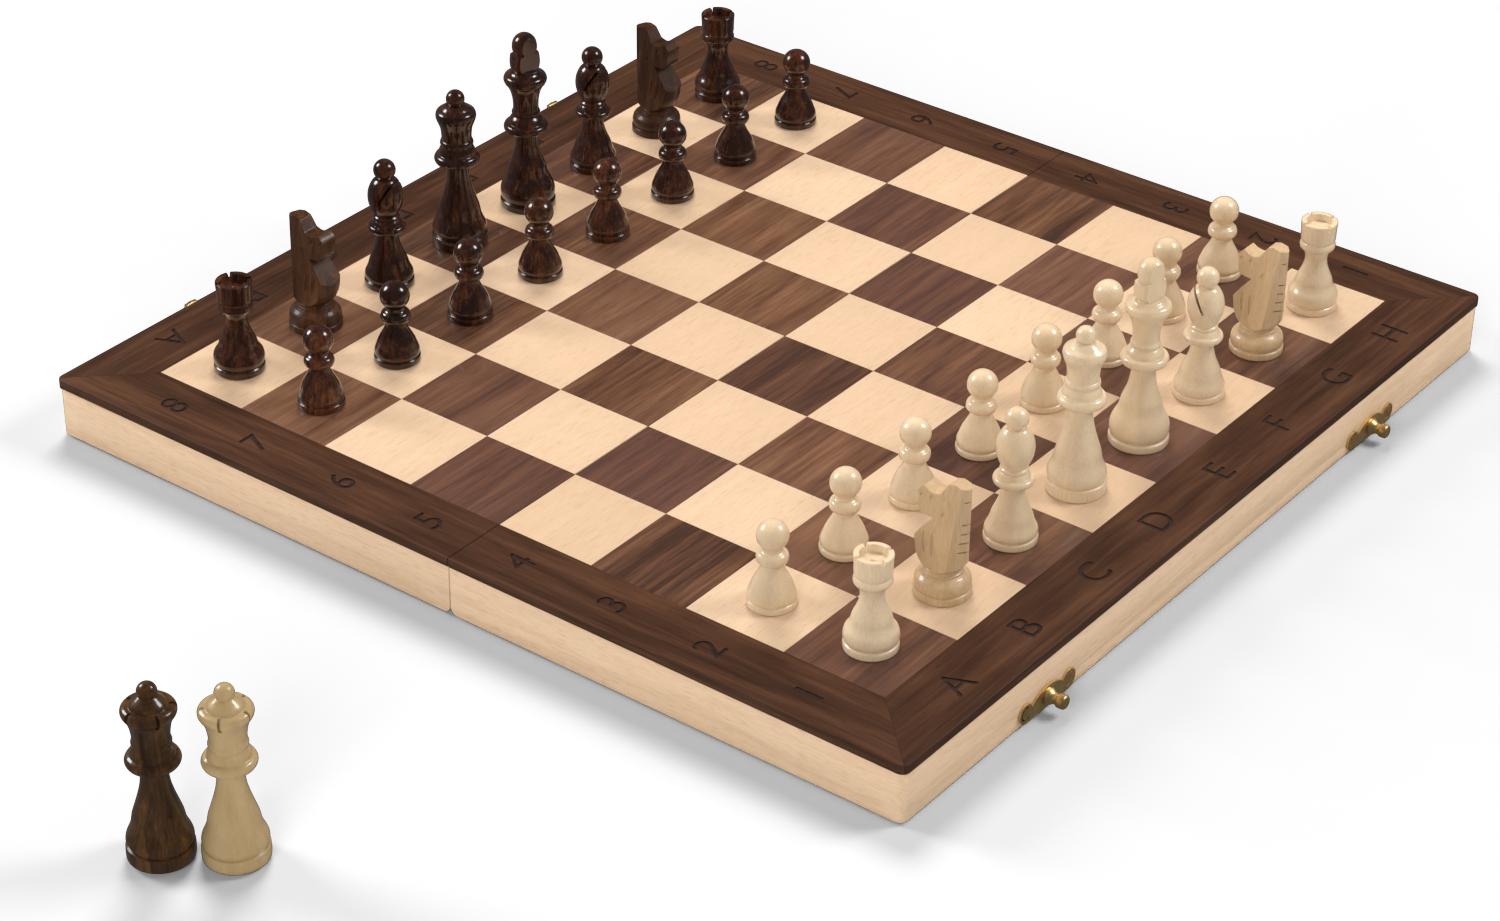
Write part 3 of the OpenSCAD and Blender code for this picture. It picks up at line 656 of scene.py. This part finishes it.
def spare_queen():
    body = finish_mesh(turned(QUEEN_BODY + SPARE_CROWN), "queen")
    slots = []
    for k in range(QUEEN_SLOTS):
        turn = Matrix.Rotation(math.radians(360 / QUEEN_SLOTS * k), 4, "Z")
        slots.append(box_mesh(*QUEEN_SLOT, turn))
    return booled(body, joined(slots), "DIFFERENCE", "queen")


def bishop():
    body = finish_mesh(turned(BISHOP), "bishop")
    tilt = Matrix.Translation(SLIT_AT) @ Matrix.Rotation(math.radians(SLIT_TILT), 4, "Y")
    corner = Vector((SLIT_WIDE / 2, SLIT_REACH, SLIT_REACH))
    return booled(body, box_mesh(-corner, corner, tilt), "DIFFERENCE", "bishop")


def rook():
    body = finish_mesh(turned(ROOK), "rook")
    notches = []
    for k in range(4):
        turn = Matrix.Rotation(math.radians(ROOK_NOTCH_TURN + 90 * k), 4, "Z")
        notches.append(prism(ROOK_NOTCH, ROOK_NOTCH_FROM, ROOK_NOTCH_TO, turn @ FROM_SIDE))
    return booled(body, joined(notches), "DIFFERENCE", "rook")


def pawn():
    return finish_mesh(turned(PAWN), "pawn")


def flank_at(z):
    """How far the knight's flank stands from its middle at a height."""
    (wide, low), (narrow, high) = KNIGHT_FRONT[1:3]
    return wide + (narrow - wide) * (z - low) / (high - low)


def leaf_cutter(y, z, length, width, lean, side):
    """A carved groove with pointed ends, sunk in one flank of the knight."""
    bm = bmesh.new()
    bmesh.ops.create_uvsphere(bm, u_segments=24, v_segments=16, radius=1)
    bm.transform(Matrix.Diagonal((0.6, width / 2, length / 2, 1)))
    bm.transform(Matrix.Translation((side * (flank_at(z) + 0.15), y, z))
                 @ Matrix.Rotation(math.radians(-FLANK_LEAN * side), 4, "Y")
                 @ Matrix.Rotation(math.radians(lean), 4, "X"))
    return finish_mesh(bm, "leaf")


def knight():
    """The head looks along +Y. It is what the outlines from the side, the front and above leave of the
    turned blank, then it is cut across the mane and carved on both flanks."""
    reach = KNIGHT_REACH
    head = finish_mesh(turned(KNIGHT_BLANK, 0.05), "blank")
    for outline, low, high, matrix, rounding in ((KNIGHT_HEAD, -reach, reach, FROM_SIDE, 0.35),
                                                 (KNIGHT_FRONT, -reach, reach, FROM_FRONT, 0),
                                                 (KNIGHT_PLAN, 0, 46, Matrix.Identity(4), 0.3)):
        head = booled(head, prism(outline, low, high, matrix, rounding), "INTERSECT", "head")
    cuts = [box_mesh((-10, -13, z - MANE_CUT / 2), (10, MANE_RIDGE + depth, z + MANE_CUT / 2))
            for z, depth in MANE_CUTS]
    cuts += [leaf_cutter(*groove, side) for side in (-1, 1) for groove in FLANK_GROOVES]
    head = booled(head, joined(cuts), "DIFFERENCE", "head")
    return booled(finish_mesh(turned(KNIGHT_BASE), "base"), head, "UNION", "knight")


SHAPES = {"king": (king, "white_king_e1"), "queen": (queen, "white_queen_d1"),
          "bishop": (bishop, "white_bishop_c1"), "rook": (rook, "white_rook_a1"),
          "pawn": (pawn, "white_pawn_a2"), "knight": (knight, "white_knight_b1"),
          "spare_queen": (spare_queen, "spare_queen_white")}
# How each man of the back rank is turned on its square, from file a to file h
WHITE_TURNS = (0, 0, -140, 0, -12, -61, 0, 0)
BLACK_TURNS = (177, 180, 101, 180, 168, 95, 180, 177)
SPARE_TURNS = (-150, 173)


def make_man_mesh(kind):
    """The man in metres, at the size that the CAD part has."""
    make, node = SHAPES[kind]
    low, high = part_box(node)
    mesh = make()
    drawn = max(v.co.z for v in mesh.vertices)
    mesh.transform(Matrix.Scale((high.z - low.z) / drawn, 4))
    return mesh


def make_men(paints):
    shapes = {kind: make_man_mesh(kind) for kind in SHAPES}
    finished = {}

    def shape(kind, paint):
        """Men of one kind and one finish share a mesh."""
        if (kind, paint) not in finished:
            mesh = shapes[kind].copy()
            mesh.materials.clear()
            mesh.materials.append(paints[paint].material)
            finished[kind, paint] = mesh
        return finished[kind, paint]

    for f, kind in enumerate(BACK_RANK):
        white, black = f"white_{kind}_{FILES[f]}1", f"black_{kind}_{FILES[f]}8"
        finish = "tan" if kind == "knight" else "pale"
        place(shape(kind, finish), white + "_turned", white, "light_lacquer", [white],
              square_centre(f, 0), WHITE_TURNS[f])
        finish = "sawn" if kind == "knight" else "dark"
        place(shape(kind, finish), black + "_turned", black, "dark_lacquer", [black],
              square_centre(f, 7), BLACK_TURNS[f])
        white, black = f"white_pawn_{FILES[f]}2", f"black_pawn_{FILES[f]}7"
        place(shape("pawn", "pale"), white + "_turned", white, "light_lacquer", [white], square_centre(f, 1))
        place(shape("pawn", "dark"), black + "_turned", black, "dark_lacquer", [black],
              square_centre(f, 6), 180)
    for node, paint, slot, turn in (("spare_queen_white", "varnish", "light_lacquer", SPARE_TURNS[0]),
                                    ("spare_queen_black", "stain", "dark_lacquer", SPARE_TURNS[1])):
        low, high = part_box(node)
        middle = (low + high) / 2
        place(shape("spare_queen", paint), node + "_turned", node, slot, [node],
              (middle.x, middle.y, low.z), turn)


# ---- The board ----------------------------------------------------------------------------------

TILE_BEVEL = 0.12 * MM


def tiles(first_rank, colour):
    """The veneer squares of one colour on one half, their top edges eased a little."""
    bm = bmesh.new()
    for f in range(8):
        for r in range(first_rank, first_rank + 4):
            if (f + r) % 2 != colour:
                continue
            centre = square_centre(f, r)
            near = centre.y - SQUARE / 2 if r != 4 else FOLD
            far = centre.y + SQUARE / 2 if r != 3 else -FOLD
            left, right = centre.x - SQUARE / 2, centre.x + SQUARE / 2
            extruded(bm, [(left, near), (right, near), (right, far), (left, far)], TOP - VENEER, TOP)
    bevelled(bm, TILE_BEVEL, 2, lambda e: all(abs(v.co.z - TOP) < 1e-6 for v in e.verts))
    return finish_mesh(bm, "tiles")


CORNER = 3 * MM
MITRE = 0.1 * MM
BORDER_BEVEL = 0.35 * MM
LETTER_HIGH = 11 * MM
LETTER_DEEP = 0.35 * MM
LETTER_WIDER = 1.02
LETTER_AT = (EDGE + FIELD) / 2


def rounded_outline(points, corner, radius, steps=8):
    """The outline with one corner turned into an arc; corner is the index of its point."""
    before, at, after = (Vector(points[(corner + k) % len(points)]) for k in (-1, 0, 1))
    a, b = (before - at).normalized(), (after - at).normalized()
    centre = at + (a + b) * radius
    arc = []
    for k in range(steps + 1):
        angle = math.pi / 2 * k / steps
        arc.append(tuple(centre - b * radius * math.cos(angle) - a * radius * math.sin(angle)))
    return points[:corner] + arc + points[corner + 1:]


def letter_mesh(text, where, turn):
    """One letter or number as a cutter that sinks into the border, with its middle at where."""
    curve = bpy.data.curves.new("letter", "FONT")
    curve.body = text
    curve.extrude = LETTER_DEEP
    curve.resolution_u = 4
    made = bpy.data.objects.new("letter", curve)
    bpy.context.scene.collection.objects.link(made)
    bpy.context.view_layer.update()
    mesh = bpy.data.meshes.new_from_object(made.evaluated_get(bpy.context.evaluated_depsgraph_get()))
    bpy.data.objects.remove(made)
    bpy.data.curves.remove(curve)
    bm = bmesh.new()
    bm.from_mesh(mesh)
    bmesh.ops.remove_doubles(bm, verts=bm.verts, dist=1e-5)
    bm.to_mesh(mesh)
    bm.free()
    points = [v.co.copy() for v in mesh.vertices]
    low = Vector([min(p[i] for p in points) for i in range(3)])
    high = Vector([max(p[i] for p in points) for i in range(3)])
    scale = LETTER_HIGH / (high.y - low.y)
    middle = (low + high) / 2
    mesh.transform(Matrix.Translation(-middle))
    mesh.transform(Matrix.Diagonal((scale * LETTER_WIDER, scale, 1, 1)))
    mesh.transform(Matrix.Translation(where) @ Matrix.Rotation(math.radians(turn), 4, "Z"))
    return mesh


def on_outer_arris(edge):
    """Whether an edge of the border runs along the board's top outer edge."""
    return all(v.co.z > TOP - 1e-6 and max(abs(v.co.x), abs(v.co.y)) > EDGE - CORNER for v in edge.verts)


def border_half(side, paints):
    """One half's border: three mitred strips with the coordinates burnt into them.
    side is -1 for white and 1 for black; each half's coordinates read upright from its own side,
    so file a's numbers face white and file h's face black."""
    out = EDGE - MITRE
    outlines = [
        [(-out, -EDGE), (out, -EDGE), (FIELD - MITRE, -FIELD), (-FIELD + MITRE, -FIELD)],
        [(-EDGE, -FOLD), (-EDGE, -EDGE), (-FIELD, -FIELD), (-FIELD, -FOLD)],
        [(EDGE, -EDGE), (EDGE, -FOLD), (FIELD, -FOLD), (FIELD, -FIELD)],
    ]
    plan = [(-EDGE, -FOLD), (-EDGE, -EDGE), (EDGE, -EDGE), (EDGE, -FOLD)]
    plan = rounded_outline(rounded_outline(plan, 2, CORNER), 1, CORNER)
    plan_mesh = prism(plan, PANEL_LOW - MM, TOP + MM)
    made = []
    for index, outline in enumerate(outlines):
        mesh = booled(prism(outline, PANEL_LOW, TOP), plan_mesh.copy(), "INTERSECT", "strip")
        bm = bmesh.new()
        bm.from_mesh(mesh)
        bpy.data.meshes.remove(mesh)
        bevelled(bm, BORDER_BEVEL, 3, on_outer_arris)
        if side > 0:
            bm.transform(Matrix.Diagonal((1, -1, 1, 1)))
            bmesh.ops.reverse_faces(bm, faces=bm.faces)
        strip = finish_mesh(bm, "strip")
        strip.materials.append(paints["border_x" if index == 0 else "border_y"].material)
        letters = []
        if index == 0:
            for f in range(8):
                where = Vector((square_centre(f, 0).x, side * LETTER_AT, TOP))
                letters.append(letter_mesh(FILES[f].upper(), where, 0 if side < 0 else 180))
        else:
            across = -1 if index == 1 else 1
            ranks = range(4) if side < 0 else range(4, 8)
            for r in ranks:
                where = Vector((across * LETTER_AT, square_centre(0, r).y, TOP))
                letters.append(letter_mesh(str(r + 1), where, 0 if across < 0 else 180))
        cutter = joined(letters)
        cutter.materials.append(paints["burnt"].material)
        made.append(booled(strip, cutter, "DIFFERENCE", "strip"))
    bpy.data.meshes.remove(plan_mesh)
    return made


def make_board(paints):
    for side, name, first_rank in ((-1, "white", 0), (1, "black", 4)):
        body = name + "_half"
        for colour, shade, paint in ((0, "dark", "walnut"), (1, "light", "maple")):
            node = f"{name}_{shade}_squares"
            place(tiles(first_rank, colour), node + "_veneer", body, paint, [node], paints=[paints[paint]])
        for part, strip in zip(("outer", "file_a", "file_h"), border_half(side, paints)):
            place(strip, f"{name}_border_{part}", body, "walnut", [name + "_border"])
        for node, paint in (("field_panel", "rail_x"), ("lining", "felt")):
            carry_over(f"{name}_{node}", paints[paint])
        for node, paint in (("outer_rail", "rail_x"), ("fold_rail", "rail_x"), ("side_rails", "rail_y")):
            refined(f"{name}_{node}", body, "pale_softwood", paints[paint], 0.3 * MM)
        refined("hinge_leaves_" + name, body, "brass", paints["brass"], 0.08 * MM)
        carry_over("screws_" + name, paints["brass"])
    carry_over("hinge_and_hasp_pins", paints["brass"])
    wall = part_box("knob_plates")[1].y
    refined("knob_plates", "white_half", "brass", paints["brass"], 0.12 * MM, plate_scrolls(wall))
    refined("hasp_plates", "black_half", "brass", paints["brass"], 0.1 * MM, plate_scrolls(-wall))
    refined("hasp_left", "hasp_left", "brass", paints["brass"], 0.15 * MM)
    refined("hasp_right", "hasp_right", "brass", paints["brass"], 0.15 * MM)
    make_knobs(paints["brass"])


def carry_over(node, paint):
    """A CAD node that is shown as it is, with a better material."""
    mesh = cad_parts[node].data
    mesh.materials.clear()
    mesh.materials.append(paint.material)


def refined(node, body, slot, paint, width, cutters=()):
    """A CAD node's own shape with its arrises eased and, for the latches, its piercings cut."""
    bm = bmesh.new()
    bm.from_mesh(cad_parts[node].data)
    bmesh.ops.remove_doubles(bm, verts=bm.verts, dist=1e-6)
    bmesh.ops.dissolve_limit(bm, angle_limit=math.radians(0.5), verts=bm.verts, edges=bm.edges)
    bevelled(bm, width, 2)
    mesh = finish_mesh(bm, node + "_eased")
    if cutters:
        mesh = booled(mesh, joined(list(cutters)), "DIFFERENCE", node + "_eased")
    mesh.materials.clear()
    place(mesh, node + "_eased", body, slot, [node], paints=[paint])


LATCH_X = 108 * MM
EAR_X = 12.9 * MM
EAR_Z = 4.1 * MM
KNOB_Z = 4.5 * MM
SCROLL_IN = 2.05 * MM
SCROLL_OUT = 2.75 * MM


def scroll_cutter(x, y, z, first, last):
    """A bent slot with round ends about an ear's screw, through a plate that faces along Y."""
    inner, outer, steps = SCROLL_IN, SCROLL_OUT, 20
    middle, half = (inner + outer) / 2, (outer - inner) / 2
    angles = [math.radians(first + (last - first) * k / steps) for k in range(steps + 1)]

    def cap(angle, start):
        turns = [start + math.pi * k / 6 for k in range(1, 6)]
        return [(middle * math.cos(angle) + half * math.cos(t), middle * math.sin(angle) + half * math.sin(t))
                for t in turns]

    plan = [(outer * math.cos(a), outer * math.sin(a)) for a in angles]
    plan += cap(angles[-1], angles[-1])
    plan += [(inner * math.cos(a), inner * math.sin(a)) for a in reversed(angles)]
    plan += cap(angles[0], angles[0] + math.pi)
    return prism(plan, -2 * MM, 2 * MM, Matrix.Translation((x, y, z)) @ FROM_FRONT)


def plate_scrolls(wall_y):
    """The two piercings of each plate on one edge, open toward the plate's middle."""
    cutters = []
    for side in (-1, 1):
        cutters.append(scroll_cutter(side * LATCH_X - EAR_X, wall_y, EAR_Z, 65, 310))
        cutters.append(scroll_cutter(side * LATCH_X + EAR_X, wall_y, EAR_Z, -130, 115))
    return cutters


KNOB = [
    [(1.2, -2.9), (1.2, 0)],
    [(2.9, 0.0), (3.0, 0.4), (2.95, 0.9), (2.6, 1.7)],
    [(2.35, 1.9), (2.0, 2.6), (1.9, 3.3), (2.0, 4.0)],
    [(2.3, 4.2), (2.5, 4.7), (2.5, 6.3), (2.3, 6.9), (1.6, 7.3), (0, 7.4)],
]


def make_knobs(paint):
    low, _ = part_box("knob_plates")
    knobs = []
    for side in (-1, 1):
        bm = turned(KNOB, 0.1)
        bm.transform(Matrix.Translation((side * LATCH_X, low.y, KNOB_Z))
                     @ Matrix.Rotation(math.radians(90), 4, "X") @ Matrix.Scale(MM, 4))
        knobs.append(finish_mesh(bm, "knob"))
    place(joined(knobs), "latch_knobs_turned", "white_half", "brass", ["latch_knobs"], paints=[paint])


# ---- The scene ----------------------------------------------------------------------------------

bpy.context.scene.view_settings.view_transform = "Standard"
make_camera()
make_world()
make_floor()
for softbox in SOFTBOXES:
    make_softbox(*softbox)
paints = make_materials()
make_board(paints)
make_men(paints)
